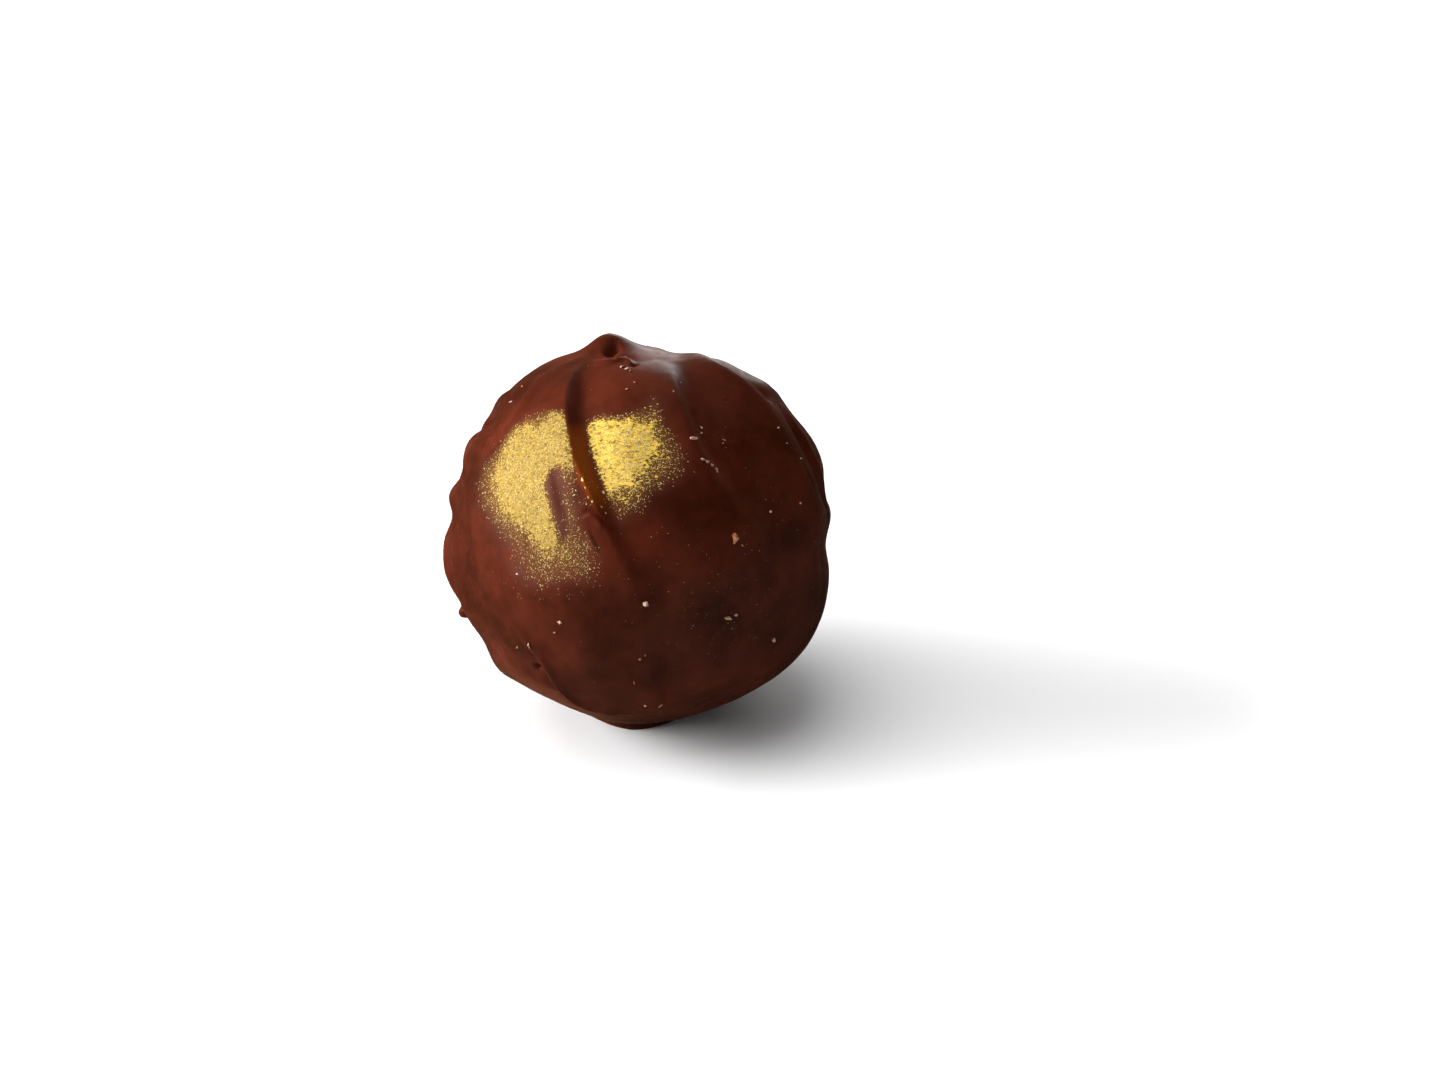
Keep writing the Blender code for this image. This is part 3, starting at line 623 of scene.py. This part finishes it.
def dipped_chocolate(look, gold):
    """Milk-dark chocolate, tempered and set in air, with a brushed film of gold lustre powder.

    Tempered chocolate that sets off the mould is satin: the eye gets a soft, wide highlight, slight
    mottling where fat and cocoa settled unevenly, and a warm glow in thin crests. The powder covers it
    where the attribute gold is high, and breaks up into grains where it is low. Amber tints the groove,
    partly as a thin film of dust and partly as painted reflection of the gold's light. Haze is the finest
    dust. Thick is 1 where the gold has its fullest colour; where it is 0, on the left, the gold is
    painted darker, a painted shade that offsets the stronger key light there.
    """
    material, tree, shader = new_material("dipped_chocolate_gold_lustre")
    place = add_node(tree, "ShaderNodeTexCoord").outputs["Object"]
    cover = add_node(tree, "ShaderNodeAttribute", {"attribute_name": "gold"}).outputs["Fac"]
    # amber: the groove's tint, partly a thin film of dust and partly painted reflection of the gold's light
    film = add_node(tree, "ShaderNodeAttribute", {"attribute_name": "amber"}).outputs["Fac"]
    haze = add_node(tree, "ShaderNodeAttribute", {"attribute_name": "haze"}).outputs["Fac"]
    # thick: 1 right of the groove; where it is 0 the left gold is painted darker, a painted shade against the
    # stronger key light
    thick = add_node(tree, "ShaderNodeAttribute", {"attribute_name": "thick"}).outputs["Fac"]

    # Mottling some 5 mm across, from the way the coating ran, and 0.8 mm across, from cocoa butter.
    mottle = add_node(
        tree, "ShaderNodeTexNoise",
        {"Scale": waves_per_metre(5.0), "Detail": 2.0, "Roughness": 0.5}, {"Vector": place},
    ).outputs["Fac"]
    fine = add_node(
        tree, "ShaderNodeTexNoise",
        {"Scale": waves_per_metre(0.8), "Detail": 3.0, "Roughness": 0.6}, {"Vector": place},
    ).outputs["Fac"]
    both = add_node(
        tree, "ShaderNodeMath", {"operation": "MULTIPLY_ADD", 1: 0.35}, {0: fine, 2: mottle}
    ).outputs[0]
    share = add_node(
        tree, "ShaderNodeMapRange", {"From Min": 0.5, "From Max": 0.85}, {"Value": both}
    ).outputs["Result"]
    brown = add_node(
        tree, "ShaderNodeMix",
        {"data_type": "RGBA", 6: (*look.dark, 1.0), 7: (*look.red, 1.0)}, {0: share},
    ).outputs[2]
    hazed = add_node(
        tree, "ShaderNodeMath", {"operation": "MULTIPLY", 1: 0.3}, {0: haze}
    ).outputs[0]
    dusty = add_node(
        tree, "ShaderNodeMix", {"data_type": "RGBA", 7: linear_colour(HAZED_BROWN)}, {0: hazed, 6: brown}
    ).outputs[2]
    bronze_share = add_node(
        tree, "ShaderNodeMapRange", {"From Min": 0.05, "From Max": 0.5, "To Max": 0.85}, {"Value": cover}
    ).outputs["Result"]
    bronze = add_node(
        tree, "ShaderNodeMix",
        {"data_type": "RGBA", 7: linear_colour(BRONZED_BROWN)}, {0: bronze_share, 6: dusty},
    ).outputs[2]
    # The groove's amber, partly dust and partly painted reflection of light from the gold beside it.
    tinted = add_node(
        tree, "ShaderNodeMix", {"data_type": "RGBA", 7: linear_colour(AMBER_DUST_AND_GOLD_BOUNCE)}, {0: film, 6: bronze}
    ).outputs[2]

    # Grains of lustre powder are 0.05 mm and lie in clumps. They are drawn 0.16 mm high and twice as
    # long, as the brushed clumps show, because single grains are too fine for a picture of the truffle.
    brushed = add_node(
        tree, "ShaderNodeMapping", {"Scale": (0.5, 1.0, 1.0)}, {"Vector": place}
    ).outputs["Vector"]
    grain = add_node(
        tree, "ShaderNodeTexNoise",
        {"Scale": waves_per_metre(0.16), "Detail": 2.0, "Roughness": 0.6, "Distortion": 0.6},
        {"Vector": brushed},
    ).outputs["Fac"]
    lumps = add_node(
        tree, "ShaderNodeTexNoise",
        {"Scale": waves_per_metre(0.6), "Detail": 1.0}, {"Vector": place},
    ).outputs["Fac"]
    grain_height = add_node(
        tree, "ShaderNodeMath", {"operation": "MULTIPLY_ADD", 1: 0.3}, {0: lumps, 2: grain}
    ).outputs[0]
    needed = add_node(
        tree, "ShaderNodeMapRange", {"To Min": 0.95, "To Max": 0.36}, {"Value": cover}
    ).outputs["Result"]
    over = add_node(
        tree, "ShaderNodeMath", {"operation": "SUBTRACT"}, {0: grain_height, 1: needed}
    ).outputs[0]
    mask = add_node(
        tree, "ShaderNodeMapRange", {"From Min": -0.03, "From Max": 0.05, "interpolation_type": "SMOOTHSTEP"},
        {"Value": over},
    ).outputs["Result"]
    touched = add_node(
        tree, "ShaderNodeMath", {"operation": "GREATER_THAN", 1: 0.02}, {0: cover}
    ).outputs[0]
    gilt = add_node(tree, "ShaderNodeMath", {"operation": "MULTIPLY"}, {0: mask, 1: touched}).outputs[0]

    gold_share = add_node(
        tree, "ShaderNodeMapRange", {"From Min": 0.46, "From Max": 0.72}, {"Value": grain_height}
    ).outputs["Result"]
    # The left patch takes the darker thin colour: painted shade that holds down the stronger key light on it.
    full_tone = add_node(
        tree, "ShaderNodeMix", {"data_type": "RGBA", 6: (*gold.thin, 1.0), 7: (*gold.colour, 1.0)}, {0: thick}
    ).outputs[2]
    gold_tone = add_node(
        tree, "ShaderNodeMix", {"data_type": "RGBA", 6: (*gold.shade, 1.0)}, {0: gold_share, 7: full_tone}
    ).outputs[2]
    colour = add_node(
        tree, "ShaderNodeMix", {"data_type": "RGBA"}, {0: gilt, 6: tinted, 7: gold_tone}
    ).outputs[2]
    metallic = add_node(
        tree, "ShaderNodeMath", {"operation": "MULTIPLY", 1: gold.metallic}, {0: gilt}
    ).outputs[0]
    satin = add_node(
        tree, "ShaderNodeMapRange",
        {"From Min": 0.3, "From Max": 0.7, "To Min": look.roughness - 0.06, "To Max": look.roughness + 0.08},
        {"Value": fine},
    ).outputs["Result"]
    roughness = add_node(
        tree, "ShaderNodeMix", {"data_type": "FLOAT", 3: gold.roughness}, {0: gilt, 2: satin}
    ).outputs[0]

    skin = add_node(
        tree, "ShaderNodeBump", {"Strength": 0.25, "Distance": 0.03 * MM}, {"Height": fine}
    ).outputs["Normal"]
    gilt_height = add_node(
        tree, "ShaderNodeMath", {"operation": "MULTIPLY"}, {0: gilt, 1: grain_height}
    ).outputs[0]
    raised = add_node(
        tree, "ShaderNodeBump",
        {"Strength": 0.9, "Distance": 0.05 * MM}, {"Height": gilt_height, "Normal": skin},
    ).outputs["Normal"]

    # Cocoa butter's gloss is soft and warm here, and red light goes furthest into the chocolate.
    surface = {
        "IOR": 1.46, "Specular IOR Level": 0.25, "Specular Tint": linear_colour("#ffd8bd"),
        "Sheen Weight": 0.055, "Sheen Roughness": 0.45, "Sheen Tint": linear_colour("#ffb48c"),
        "Subsurface Weight": look.glow, "Subsurface Radius": (1.0, 0.25, 0.08),
        "Subsurface Scale": 0.5 * MM,
    }
    joined = {"Base Color": colour, "Metallic": metallic, "Roughness": roughness, "Normal": raised}
    set_node(tree, shader, surface, joined)
    return material


def gold_lustre(gold):
    """Gold lustre powder: thin mica plates with a metal oxide skin, which flash where they face a light.

    Each plate has its own tone, kept in the attribute tone, so that a patch of them shimmers.
    """
    material, tree, shader = new_material("gold_lustre_powder")
    tone = add_node(tree, "ShaderNodeAttribute", {"attribute_name": "tone"}).outputs["Fac"]
    colour = add_node(
        tree, "ShaderNodeMix",
        {"data_type": "RGBA", 6: (*gold.shade, 1.0), 7: (*gold.bright, 1.0)}, {0: tone},
    ).outputs[2]
    roughness = add_node(
        tree, "ShaderNodeMapRange",
        {"To Min": gold.roughness + 0.05, "To Max": gold.roughness - 0.1}, {"Value": tone},
    ).outputs["Result"]
    set_node(tree, shader, {"Metallic": gold.metallic}, {"Base Color": colour, "Roughness": roughness})
    return material


def crumb_finish(name, pale, deep, roughness, clearness):
    """A broken crumb: its faces differ a little in colour, from the film of cocoa that clings to it."""
    material, tree, shader = new_material(name)
    place = add_node(tree, "ShaderNodeTexCoord").outputs["Object"]
    film = add_node(
        tree, "ShaderNodeTexNoise", {"Scale": waves_per_metre(0.35), "Detail": 2.0}, {"Vector": place}
    ).outputs["Fac"]
    share = add_node(
        tree, "ShaderNodeMapRange", {"From Min": 0.35, "From Max": 0.65}, {"Value": film}
    ).outputs["Result"]
    colour = add_node(
        tree, "ShaderNodeMix",
        {"data_type": "RGBA", 6: linear_colour(deep), 7: linear_colour(pale)}, {0: share},
    ).outputs[2]
    bump = add_node(
        tree, "ShaderNodeBump", {"Strength": 0.4, "Distance": 0.02 * MM}, {"Height": film}
    ).outputs["Normal"]
    set_node(
        tree, shader, {"Roughness": roughness, "Transmission Weight": clearness},
        {"Base Color": colour, "Normal": bump},
    )
    return material


def matt_white_board():
    """Matt white card: an even surface without gloss, whose fine tooth only shows close to."""
    material, tree, shader = new_material("matt_white_board")
    place = add_node(tree, "ShaderNodeTexCoord").outputs["Object"]
    tooth = add_node(
        tree, "ShaderNodeTexNoise", {"Scale": waves_per_metre(0.4), "Detail": 2.0}, {"Vector": place}
    ).outputs["Fac"]
    bump = add_node(
        tree, "ShaderNodeBump", {"Strength": 0.05, "Distance": 0.01 * MM}, {"Height": tooth}
    ).outputs["Normal"]
    card = {"Base Color": linear_colour("#f2f2f2"), "Roughness": 0.9, "Specular IOR Level": 0.1}
    set_node(tree, shader, card, {"Normal": bump})
    return material


def finished(name, mesh, material, smooth=True):
    """An object of this mesh, with this material, that rides on the truffle's body."""
    obj = bpy.data.objects.new(name, mesh)
    bpy.context.scene.collection.objects.link(obj)
    mesh.materials.append(material)
    if smooth:
        mesh.shade_smooth()
    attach(obj, "root")
    return obj


def set_attribute(mesh, name, values):
    """Keeps one number for each of the mesh's points, for its material to read."""
    layer = mesh.attributes.new(name, "FLOAT", "POINT")
    layer.data.foreach_set("value", np.asarray(values, np.float32))


def even_ball(cuts):
    """A ball of evenly spread faces, made from a cube, that is finer at the small features."""
    bm = bmesh.new()
    bmesh.ops.create_cube(bm, size=2.0)
    bmesh.ops.subdivide_edges(bm, edges=bm.edges[:], cuts=cuts, use_grid_fill=True)
    places = np.tan(np.array([v.co for v in bm.verts]) * (math.pi / 4))
    places /= np.linalg.norm(places, axis=1, keepdims=True)
    for vert, place in zip(bm.verts, places):
        vert.co = place
    for right, up, radius in FINE_PATCHES:
        centre = Vector(on_front(right, up))
        reach = radius / BALL_RADIUS
        edges = [e for e in bm.edges if all((v.co - centre).length < reach for v in e.verts)]
        bmesh.ops.subdivide_edges(bm, edges=edges, cuts=1, use_grid_fill=True)
    return bm


def coating_mesh(cuts):
    """The whole coating, cut flat where it stands.

    Its attributes say how dust lies on it and where colour is painted: gold is the grains and haze the
    finest dust. Amber tints the groove, partly as a thin film of dust and partly as painted reflection of
    the gold's light. Thick is 1 right of the groove's middle; left of it the gold is painted darker, a
    painted shade that offsets the stronger key light there.
    """
    bm = even_ball(cuts)
    directions = np.array([v.co for v in bm.verts])
    directions /= np.linalg.norm(directions, axis=1, keepdims=True)
    points = directions * coating_radius(directions)[:, None]
    points[:, 2] += CENTRE_HEIGHT
    for vert, point in zip(bm.verts, points * MM):
        vert.co = point
    bmesh.ops.bisect_plane(
        bm, geom=bm.verts[:] + bm.edges[:] + bm.faces[:], dist=1e-7,
        plane_co=(0, 0, 0), plane_no=(0, 0, 1), clear_inner=True,
    )
    bmesh.ops.contextual_create(bm, geom=[e for e in bm.edges if e.is_boundary])
    bmesh.ops.recalc_face_normals(bm, faces=bm.faces[:])
    mesh = bpy.data.meshes.new("coating")
    bm.to_mesh(mesh)
    bm.free()
    places = np.array([v.co for v in mesh.vertices]) / MM - (0, 0, CENTRE_HEIGHT)
    x, y, towards = seen_from_eye(places)
    in_front = towards > 0
    set_attribute(mesh, "gold", np.where(in_front, gold_cover(x, y), 0.0))
    # amber: partly thin dust in the groove, partly painted reflection of the gold's light
    set_attribute(mesh, "amber", np.where(in_front, amber_dust_and_gold_bounce(x, y), 0.0))
    # thick: 0 on the left, where the gold is painted darker as painted shade against the stronger key light
    set_attribute(mesh, "thick", np.where(x > groove_middle(y), 1.0, 0.0))
    set_attribute(mesh, "haze", np.where(in_front, gold_haze(x, y), 0.0))
    return mesh


def surface_of(obj):
    """A tree that finds where rays meet the object's faces."""
    mesh = obj.data
    return BVHTree.FromPolygons([v.co for v in mesh.vertices], [p.vertices for p in mesh.polygons])


def eye_place():
    """Where the eye stands, in metres."""
    x, y, towards = EYE
    back = y * TILT_SIN - towards * TILT_COS
    height = y * TILT_COS + towards * TILT_SIN + CENTRE_HEIGHT
    return Vector((x, back, height)) * MM


def seen_on(surface, right, up):
    """Place and normal of the coating where the eye sees it so many mm right and up, or None."""
    target = Vector((right, up * TILT_SIN, up * TILT_COS + CENTRE_HEIGHT)) * MM
    eye = eye_place()
    place, normal, _, _ = surface.ray_cast(eye, (target - eye).normalized())
    return None if place is None else (place, normal)


def met_from_centre(surface, direction):
    """Place and normal of the coating in this direction from the ball's centre."""
    centre = Vector((0, 0, CENTRE_HEIGHT * MM))
    place, normal, _, _ = surface.ray_cast(centre, Vector(direction))
    return place, normal


class Bit(NamedTuple):
    """A small bit that lies on the coating: its place in metres, its sizes in mm, and how it lies."""

    place: Vector
    normal: Vector
    way: Vector
    length: float
    width: float
    height: float
    tone: float


def bits_mesh(name, bits, sides, tilt, jagged, seed):
    """Joins many flat bits into one mesh. Each is closed and has so many uneven sides."""
    draw = np.random.default_rng(seed)
    count = len(bits)
    places, normals, ways = (np.array([bit[i] for bit in bits]) for i in range(3))
    length, width, height = (np.array([bit[i] for bit in bits])[:, None] * MM / 2 for i in (3, 4, 5))
    normals = normals + tilt * draw.normal(size=(count, 3))
    normals /= np.linalg.norm(normals, axis=1, keepdims=True)
    across = np.cross(normals, ways)
    across /= np.linalg.norm(across, axis=1, keepdims=True)
    along = np.cross(across, normals)
    angles = np.linspace(0.0, math.tau, sides, endpoint=False) + draw.uniform(-0.3, 0.3, (count, sides))
    reach = draw.uniform(1.0 - jagged, 1.0, (count, sides))
    out_along = (length * reach * np.cos(angles))[..., None] * along[:, None]
    out_across = (width * reach * np.sin(angles))[..., None] * across[:, None]
    lifts = (height * draw.uniform(-0.4, 0.4, (count, sides)))[..., None] * normals[:, None]
    rims = places[:, None] + out_along + out_across + lifts
    tops = places + height * normals + draw.uniform(-0.4, 0.4, (count, 1)) * length * along
    bottoms = places - height * normals
    points = np.concatenate([rims, tops[:, None], bottoms[:, None]], axis=1)
    faces = []
    for side in range(sides):
        after = (side + 1) % sides
        faces += [(side, after, sides), (after, side, sides + 1)]
    starts = np.arange(count) * (sides + 2)
    all_faces = (starts[:, None, None] + np.array(faces)).reshape(-1, 3)
    mesh = bpy.data.meshes.new(name)
    mesh.from_pydata(points.reshape(-1, 3).tolist(), [], all_faces.tolist())
    set_attribute(mesh, "tone", np.repeat([bit.tone for bit in bits], sides + 2))
    return mesh


def laid_on_front(surface, x, y, way, length, width, height, tone, sunk=0.0):
    """A bit on the coating where the eye sees (x, y) mm, turned a way in the eye's picture, or None."""
    met = seen_on(surface, x, y)
    if met is None:
        return None
    place, normal = met
    turned = Vector((way[0], way[1] * TILT_SIN, way[1] * TILT_COS))
    return Bit(place - normal * sunk * MM, normal, turned, length, width, height, tone)


def gold_bits(surface, gold):
    """Grains for the brushed patches: thick where the dust is thick, and strewn at its edges."""
    draw = random.Random(gold.seed)
    bits = []
    left, right, low, high = GRAIN_FIELD
    tries = np.array([(draw.uniform(left, right), draw.uniform(low, high)) for _ in range(gold.tries)])
    cover = gold_cover(tries[:, 0], tries[:, 1])
    for (x, y), thick in zip(tries, cover):
        if draw.random() > thick:
            continue
        length = draw.uniform(*GRAIN_LENGTHS) * gold.length / MM
        width = length * draw.uniform(*GRAIN_WIDTHS)
        # Grains in the left patch's solid gold take darker tones: painted shade against the stronger key
        # light there.
        bright = 2.4 if x > groove_middle(y) or thick < 0.5 else 1.3
        tone = draw.betavariate(bright, 1.8)
        way = brushed_way(x, y, draw)
        bits.append(laid_on_front(surface, x, y, way, length, width, 0.35 * width, tone, -0.01))
    for x, y, length, width in GOLD_CLOTS:
        way = (draw.uniform(-0.6, 0.2), 1.0)
        tone = draw.uniform(0.3, 0.8)
        bits.append(laid_on_front(surface, x, y, way, length, width, 0.5 * width, tone))
    for x, y, radius, count in STRAY_GRAINS:
        for _ in range(count):
            away, turn = radius * math.sqrt(draw.random()), draw.uniform(0, math.tau)
            length = draw.uniform(*STRAY_LENGTHS) * gold.length / MM
            way = (math.cos(3 * turn), math.sin(3 * turn))
            tone = draw.betavariate(1.3, 2.2)
            bits.append(
                laid_on_front(
                    surface, x + away * math.cos(turn), y + away * math.sin(turn), way,
                    length, 0.7 * length, 0.3 * length, tone,
                )
            )
    return [bit for bit in bits if bit]


def crumb_bits(surface, crumbs, kind):
    """Crumbs of one kind, on the front and strewn round the back; two pale ones are painted highlights."""
    draw = random.Random(f"{crumbs.seed} {kind}")
    bits = []
    for x, y, length, width, its_kind in FRONT_CRUMBS:
        if its_kind == kind:
            turn = draw.uniform(-0.3, 0.3)
            height = 0.9 * min(length, width)
            way = (math.cos(turn), math.sin(turn))
            tone = draw.random()
            length, width = SHOWN_LARGER * length, SHOWN_LARGER * width
            bits.append(laid_on_front(surface, x, y, way, length, width, height, tone, -0.05))
    for _ in range(crumbs.back_count):
        turn, height = draw.uniform(0.1, math.pi - 0.1), draw.uniform(-0.35, 0.9)
        out = math.sqrt(1 - height**2)
        place, normal = met_from_centre(surface, (out * math.cos(turn), out * math.sin(turn), height))
        length = draw.uniform(0.2, 0.6)
        width = length * draw.uniform(0.5, 0.9)
        way = Vector([draw.gauss(0.0, 1.0) for _ in range(3)])
        bits.append(Bit(place, normal, way, length, width, 0.5 * width, draw.random()))
    return [bit for bit in bits if bit]


def colour_setting(name, description, code):
    """A setting that holds a colour, given here as an sRGB hex code."""
    return FloatVectorProperty(
        name=name, description=description, subtype="COLOR", min=0.0, max=1.0,
        default=linear_colour(code)[:3],
    )


def light_setting(name, comes, strength):
    """A setting for the strength of a light, with a few words on where it comes from."""
    return FloatProperty(name=name, description=f"Strength of the light {comes}", default=strength, min=0.0)


class TruffleCoatingSettings(bpy.types.PropertyGroup):
    """What a user may change of the coating."""

    cuts: IntProperty(
        name="Mesh cuts", description="Cuts along each side of the cube that the ball is made from",
        default=100, min=20, max=104,
    )
    dark: colour_setting("Dark cocoa", "Colour of the coating where it is darkest", "#2c0c03")
    red: colour_setting("Red cocoa", "Colour of the coating where it is warmest", "#45170a")
    roughness: FloatProperty(
        name="Roughness", description="How dull the coating is",
        subtype="FACTOR", min=0.1, max=0.9, default=0.42,
    )
    glow: FloatProperty(
        name="Glow", description="Share of light that passes through thin chocolate",
        subtype="FACTOR", min=0.0, max=1.0, default=0.12,
    )


class TruffleGoldSettings(bpy.types.PropertyGroup):
    """What a user may change of the gold dust."""

    tries: IntProperty(
        name="Brush strokes", description="How many grains are tried over the patches",
        default=44000, min=100, max=60000,
    )
    length: FloatProperty(
        name="Grain length", description="Typical length of a clump of gold grains",
        subtype="DISTANCE", unit="LENGTH", default=0.15 * MM, min=0.05 * MM, max=1.0 * MM, precision=6,
    )
    seed: IntProperty(name="Seed", description="Start of the random draw", default=7)
    colour: colour_setting("Gold", "Colour of the thick dust", "#e2bb48")
    # The left gold's darker colour is painted shade that offsets the stronger key light on that side.
    thin: colour_setting(
        "Thin gold", "Colour of the dust on the left, where the chocolate dulls it", "#a4883f"
    )
    bright: colour_setting("Bright gold", "Colour of the brightest grains", "#f8e49c")
    shade: colour_setting("Deep gold", "Colour of the darkest grains", "#70501c")
    metallic: FloatProperty(
        name="Metallic", description="How much of the dust shines as metal",
        subtype="FACTOR", min=0.0, max=1.0, default=0.25,
    )
    roughness: FloatProperty(
        name="Roughness", description="How dull the dust is", subtype="FACTOR", min=0.1, max=0.9, default=0.5
    )


class TruffleCrumbSettings(bpy.types.PropertyGroup):
    """What a user may change of the crumbs."""

    back_count: IntProperty(
        name="Crumbs behind", description="Crumbs of each kind strewn round the back",
        default=14, min=0, max=200,
    )
    seed: IntProperty(name="Seed", description="Start of the random draw", default=5)


class TruffleStageSettings(bpy.types.PropertyGroup):
    """What a user may change of the stage and its light."""

    board: FloatProperty(
        name="Board", description="Side of the board", subtype="DISTANCE", unit="LENGTH", default=4.0, min=0.5
    )
    key: light_setting("Key light", "from the left", 12.5)
    front: light_setting("Front light", "from the front", 0.35)
    top: light_setting("Top light", "from above", 1.9)
    back: light_setting("Back light", "from behind", 1.3)
    shine: light_setting("Shine", "that shows as sheen", 1.3)
    fill: light_setting("Fill light", "from all round, which is even", 0.05)


class TRUFFLE_OT_coating(bpy.types.Operator):
    """Makes the chocolate coating over the whole truffle"""

    bl_idname = "truffle.coating"
    bl_label = "Dip the coating"

    def execute(self, context):
        scene = context.scene
        look = scene.truffle_coating
        material = dipped_chocolate(look, scene.truffle_gold)
        coating = finished("coating", coating_mesh(look.cuts), material)
        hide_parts("truffle")
        return {"FINISHED"}


class TRUFFLE_OT_gold_dust(bpy.types.Operator):
    """Lays the grains of gold dust on the coating"""

    bl_idname = "truffle.gold_dust"
    bl_label = "Brush on gold dust"

    def execute(self, context):
        gold = context.scene.truffle_gold
        surface = surface_of(bpy.data.objects["coating"])
        mesh = bits_mesh("gold_dust", gold_bits(surface, gold), sides=4, tilt=0.2, jagged=0.4, seed=gold.seed)
        finished("gold_dust", mesh, gold_lustre(gold), smooth=False)
        return {"FINISHED"}


class TRUFFLE_OT_crumbs(bpy.types.Operator):
    """Strews crumbs of nut and sugar on the coating"""

    bl_idname = "truffle.crumbs"
    bl_label = "Strew crumbs"

    def execute(self, context):
        crumbs = context.scene.truffle_crumbs
        surface = surface_of(bpy.data.objects["coating"])
        finishes = {
            "pale": crumb_finish("chopped_nut_and_painted_highlights", "#c49a88", "#7d5344", 0.5, 0.1),
            "tan": crumb_finish("nut_skin", "#a8714c", "#7c4526", 0.6, 0.0),
            "sugar": crumb_finish("sugar_grain", "#f1d9c4", "#b88f78", 0.25, 0.45),
        }
        for kind, material in finishes.items():
            bits = crumb_bits(surface, crumbs, kind)
            mesh = bits_mesh(f"crumbs_{kind}", bits, sides=7, tilt=0.15, jagged=0.55, seed=crumbs.seed)
            finished(f"crumbs_{kind}", mesh, material, smooth=False)
        return {"FINISHED"}


# The far shine's strength, as a share of the left one's.
FAR_SHINE_SHARE = 0.4


def add_sun(name, elevation, azimuth, strength, softness, lights):
    """A far soft light from this elevation and azimuth, counted from +X towards +Y, in degrees.

    It either lights surfaces or shows as a sheen on them.
    """
    light = bpy.data.lights.new(name, "SUN")
    light.energy = strength
    light.angle = math.radians(softness)
    obj = bpy.data.objects.new(name, light)
    bpy.context.scene.collection.objects.link(obj)
    a, b = math.radians(elevation), math.radians(azimuth)
    towards = Vector((math.cos(a) * math.cos(b), math.cos(a) * math.sin(b), math.sin(a)))
    obj.rotation_euler = towards.to_track_quat("Z", "Y").to_euler()
    obj.visible_diffuse = lights
    obj.visible_glossy = not lights


def add_board(side):
    """The white board, a hair under the foot. It is left out of reflections, which it would grey."""
    bm = bmesh.new()
    bmesh.ops.create_grid(bm, x_segments=8, y_segments=8, size=side / 2)
    mesh = bpy.data.meshes.new("board")
    bm.to_mesh(mesh)
    bm.free()
    mesh.materials.append(matt_white_board())
    board = bpy.data.objects.new("board", mesh)
    board.location.z = -0.02 * MM
    bpy.context.scene.collection.objects.link(board)
    board.visible_glossy = False


def add_camera():
    """The camera at the eye, with the truffle a little left of the picture's middle."""
    lens = bpy.data.cameras.new("camera")
    lens.lens = 100
    lens.sensor_width = 36
    camera = bpy.data.objects.new("camera", lens)
    camera.location = eye_place()
    camera.rotation_euler = (math.pi / 2 - FRONT_TILT, 0.0, 0.0)
    bpy.context.scene.collection.objects.link(camera)
    bpy.context.scene.camera = camera


class TRUFFLE_OT_stage(bpy.types.Operator):
    """Sets up the white board, the soft lights and the camera"""

    bl_idname = "truffle.stage"
    bl_label = "Set the stage"

    def execute(self, context):
        scene = context.scene
        stage = scene.truffle_stage
        add_board(stage.board)
        for light in (
            ("key_left", 11, 178, stage.key, 46, True),
            ("front_soft", 22, 262, stage.front, 60, True),
            ("top_soft", 72, 190, stage.top, 60, True),
            ("back_soft", 40, 95, stage.back, 60, True),
            ("left_shine", 22, 184, stage.shine, 50, False),
            ("far_shine", 5, 81, FAR_SHINE_SHARE * stage.shine, 22, False),
        ):
            add_sun(*light)
        world = bpy.data.worlds.new("studio_air")
        world.use_nodes = True
        air = world.node_tree.nodes["Background"]
        air.inputs["Color"].default_value = (1.0, 1.0, 1.0, 1.0)
        air.inputs["Strength"].default_value = stage.fill
        # Like the board, the even air stays out of reflections.
        world.cycles_visibility.glossy = False
        scene.world = world
        scene.view_settings.view_transform = "Standard"
        add_camera()
        return {"FINISHED"}


OPERATORS = (TRUFFLE_OT_coating, TRUFFLE_OT_gold_dust, TRUFFLE_OT_crumbs, TRUFFLE_OT_stage)


class TRUFFLE_PT_maker(bpy.types.Panel):
    """Lists what makes the truffle, in order"""

    bl_label = "Hazelnut Truffle"
    bl_idname = "TRUFFLE_PT_maker"
    bl_space_type = "VIEW_3D"
    bl_region_type = "UI"
    bl_category = "Truffle"

    def draw(self, context):
        scene = context.scene
        shown = (scene.truffle_coating, scene.truffle_gold, scene.truffle_crumbs, scene.truffle_stage)
        for operator, settings in zip(OPERATORS, shown):
            box = self.layout.box()
            for name in settings.bl_rna.properties.keys():
                if name not in ("rna_type", "name"):
                    box.prop(settings, name)
            box.operator(operator.bl_idname)


SETTINGS = {
    "truffle_coating": TruffleCoatingSettings,
    "truffle_gold": TruffleGoldSettings,
    "truffle_crumbs": TruffleCrumbSettings,
    "truffle_stage": TruffleStageSettings,
}
CLASSES = (*SETTINGS.values(), *OPERATORS, TRUFFLE_PT_maker)


def register():
    for cls in CLASSES:
        bpy.utils.register_class(cls)
    for name, settings in SETTINGS.items():
        setattr(bpy.types.Scene, name, PointerProperty(type=settings))


def unregister():
    for name in SETTINGS:
        delattr(bpy.types.Scene, name)
    for cls in reversed(CLASSES):
        bpy.utils.unregister_class(cls)


def main():
    """Makes the truffle and its stage."""
    register()
    bpy.ops.truffle.coating()
    bpy.ops.truffle.gold_dust()
    bpy.ops.truffle.crumbs()
    bpy.ops.truffle.stage()
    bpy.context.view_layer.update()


if __name__ == "__main__":
    main()
